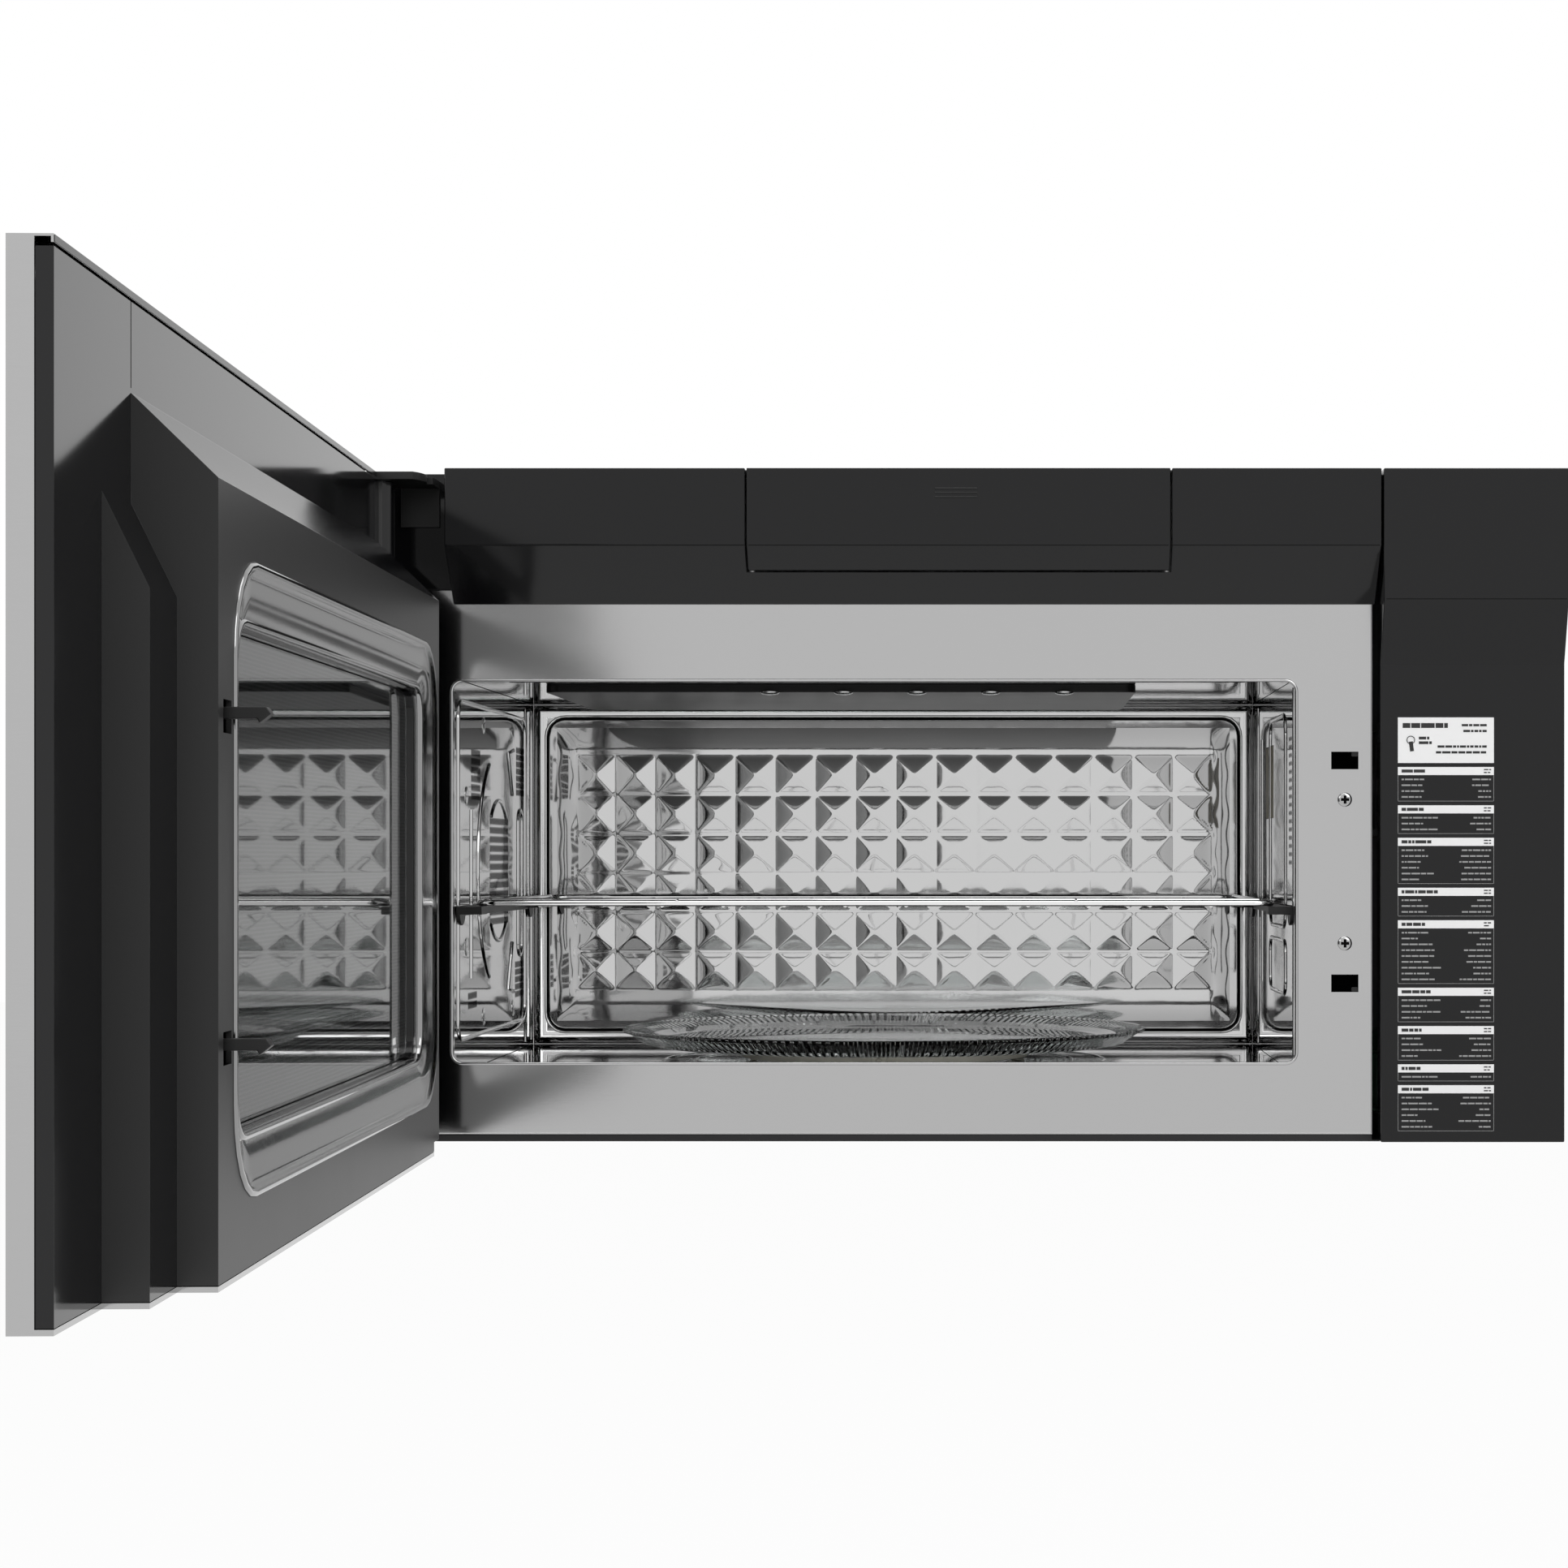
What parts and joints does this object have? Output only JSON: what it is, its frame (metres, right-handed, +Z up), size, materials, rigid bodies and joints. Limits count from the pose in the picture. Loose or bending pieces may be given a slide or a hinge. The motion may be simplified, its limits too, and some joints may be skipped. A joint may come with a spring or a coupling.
{
  "type": "over the range microwave",
  "caption": "Over the range convection microwave with a full-width side-hinged door, sliding rack, glass turntable, vent filters and a wall mounting plate.",
  "frame": {"origin": "on the wall, at the centre of the mounting plate's rear face", "axes": "+Z up, -Y towards the cook, +X to the right as seen from the front"},
  "size_m": [0.759, 1.1482, 0.4429],
  "materials": {
    "stainless": "fine brushed",
    "cavity_steel": "polished",
    "galvanised": "galvanised sheet",
    "black_sheet": "satin black paint",
    "gloss_black": "moulded, high gloss",
    "matt_black": "moulded, fine texture",
    "chrome_wire": "bright plated",
    "clear_glass": "clear",
    "dark_glass": "black tinted",
    "pale_plastic": "moulded",
    "charcoal": "granules in a mesh",
    "filter_mesh": "layered mesh",
    "circuit": "coated board",
    "heater": "heat-coloured sheath",
    "mica": "pressed mica sheet"
  },
  "bodies": {
    "cabinet": {"wall_mounting_plate": "galvanised", "rear_panel": "galvanised", "base_panel": "black_sheet", "side_panel_left": "black_sheet", "side_panel_right": "black_sheet", "top_panel": "black_sheet", "cord_gland": "matt_black", "front_frame": "stainless", "frame_screw_lower": "chrome_wire", "frame_screw_upper": "chrome_wire", "latch_housing": "matt_black", "cavity_floor": "cavity_steel", "cavity_ceiling": "cavity_steel", "cavity_left_wall": "cavity_steel", "cavity_right_wall": "cavity_steel", "feed_cover": "mica", "cavity_back": "cavity_steel", "upper_fascia": "gloss_black", "charcoal_filter": "charcoal", "column_cover": "gloss_black", "hinge_bracket_top": "matt_black", "hinge_pin_top": "chrome_wire", "hinge_bracket_bottom": "galvanised", "hinge_pin_bottom": "chrome_wire", "turntable_motor": "galvanised", "rack_support_left": "matt_black", "rack_support_right": "matt_black", "convection_housing": "galvanised", "convection_motor": "galvanised", "convection_heater": "heater", "vent_blower_housing": "galvanised", "vent_blower_motor": "galvanised", "exhaust_adaptor": "galvanised", "waveguide": "galvanised", "magnetron": "galvanised", "power_inverter": "circuit", "cavity_lamp": "pale_plastic", "cooktop_lamp": "pale_plastic"},
    "door": {"door_skin": "stainless", "door_front_glass": "dark_glass", "control_board": "circuit", "door_liner": "gloss_black", "door_window_trim": "stainless", "door_inner_glass": "clear_glass", "door_screen": "black_sheet"},
    "latch": {"door_latch": "matt_black"},
    "filter_flap": {"filter_door": "gloss_black"},
    "rack": {"wire_rack": "chrome_wire"},
    "coupler": {"turntable_coupler": "pale_plastic"},
    "plate": {"turntable_plate": "clear_glass"},
    "ring": {"roller_ring": "pale_plastic"},
    "roller_a": {"roller_1": "pale_plastic"},
    "roller_b": {"roller_2": "pale_plastic"},
    "roller_c": {"roller_3": "pale_plastic"},
    "blower_wheel": {"vent_blower_wheel": "galvanised"},
    "oven_fan": {"convection_fan": "galvanised"},
    "damper": {"exhaust_damper": "galvanised"},
    "grease_left": {"grease_filter_left": "filter_mesh"},
    "grease_right": {"grease_filter_right": "filter_mesh"},
    "lamp_lens": {"cooktop_lamp_cover": "clear_glass"}
  },
  "joints": [
    {"name": "door_hinge", "type": "hinge", "parent": "cabinet", "child": "door", "pos_m": [-0.351, -0.418, 0], "axis": [0, 0, 1], "range_deg": [-8, 88.24]},
    {"name": "latch_travel", "type": "slide", "parent": "door", "child": "latch", "axis": [0, 0, 1], "range_m": [-0.003, 0], "stiffness_N_per_m": 800},
    {"name": "filter_door_hinge", "type": "hinge", "parent": "cabinet", "child": "filter_flap", "pos_m": [0.0035, -0.39942, 0.14705], "axis": [-1, 0, 0], "range_deg": [-35, 0]},
    {"name": "rack_slide", "type": "slide", "parent": "cabinet", "child": "rack", "axis": [0, 1, 0], "range_m": [-0.28, 0]},
    {"name": "turntable_spin", "type": "hinge", "parent": "cabinet", "child": "coupler", "pos_m": [-0.0497, -0.2005, -0.165], "axis": [0, 0, 1], "continuous": true},
    {"name": "plate_lift", "type": "slide", "parent": "coupler", "child": "plate", "axis": [0, 0, -1], "range_m": [-0.008, 0]},
    {"name": "ring_spin", "type": "hinge", "parent": "cabinet", "child": "ring", "pos_m": [-0.0497, -0.2005, -0.165], "axis": [0, 0, 1], "continuous": true},
    {"name": "roller_a_spin", "type": "hinge", "parent": "ring", "child": "roller_a", "pos_m": [0.04037, -0.1485, -0.1634], "axis": [0.866, 0.5, 0], "continuous": true},
    {"name": "roller_b_spin", "type": "hinge", "parent": "ring", "child": "roller_b", "pos_m": [-0.13977, -0.1485, -0.1634], "axis": [-0.866, 0.5, 0], "continuous": true},
    {"name": "roller_c_spin", "type": "hinge", "parent": "ring", "child": "roller_c", "pos_m": [-0.0497, -0.3045, -0.1634], "axis": [0, -1, 0], "continuous": true},
    {"name": "blower_spin", "type": "hinge", "parent": "cabinet", "child": "blower_wheel", "pos_m": [0, -0.116, 0.14525], "axis": [1, 0, 0], "continuous": true},
    {"name": "oven_fan_spin", "type": "hinge", "parent": "cabinet", "child": "oven_fan", "pos_m": [-0.33, -0.185, -0.04075], "axis": [1, 0, 0], "continuous": true},
    {"name": "damper_hinge", "type": "hinge", "parent": "cabinet", "child": "damper", "pos_m": [0, -0.07895, 0.22075], "axis": [1, 0, 0], "range_deg": [-75, 0]},
    {"name": "grease_left_drop", "type": "slide", "parent": "cabinet", "child": "grease_left", "axis": [0, 0, 1], "range_m": [-0.05, 0]},
    {"name": "grease_right_drop", "type": "slide", "parent": "cabinet", "child": "grease_right", "axis": [0, 0, 1], "range_m": [-0.05, 0]},
    {"name": "lamp_lens_hinge", "type": "hinge", "parent": "cabinet", "child": "lamp_lens", "pos_m": [0, -0.25, -0.20875], "axis": [-1, 0, 0], "range_deg": [-80, 0]}
  ],
  "couplings": [
    {"joint": "ring_spin", "follows": "turntable_spin", "ratio": 0.5},
    {"joint": "roller_a_spin", "follows": "turntable_spin", "ratio": -10.297},
    {"joint": "roller_b_spin", "follows": "turntable_spin", "ratio": -10.297},
    {"joint": "roller_c_spin", "follows": "turntable_spin", "ratio": -10.297}
  ]
}
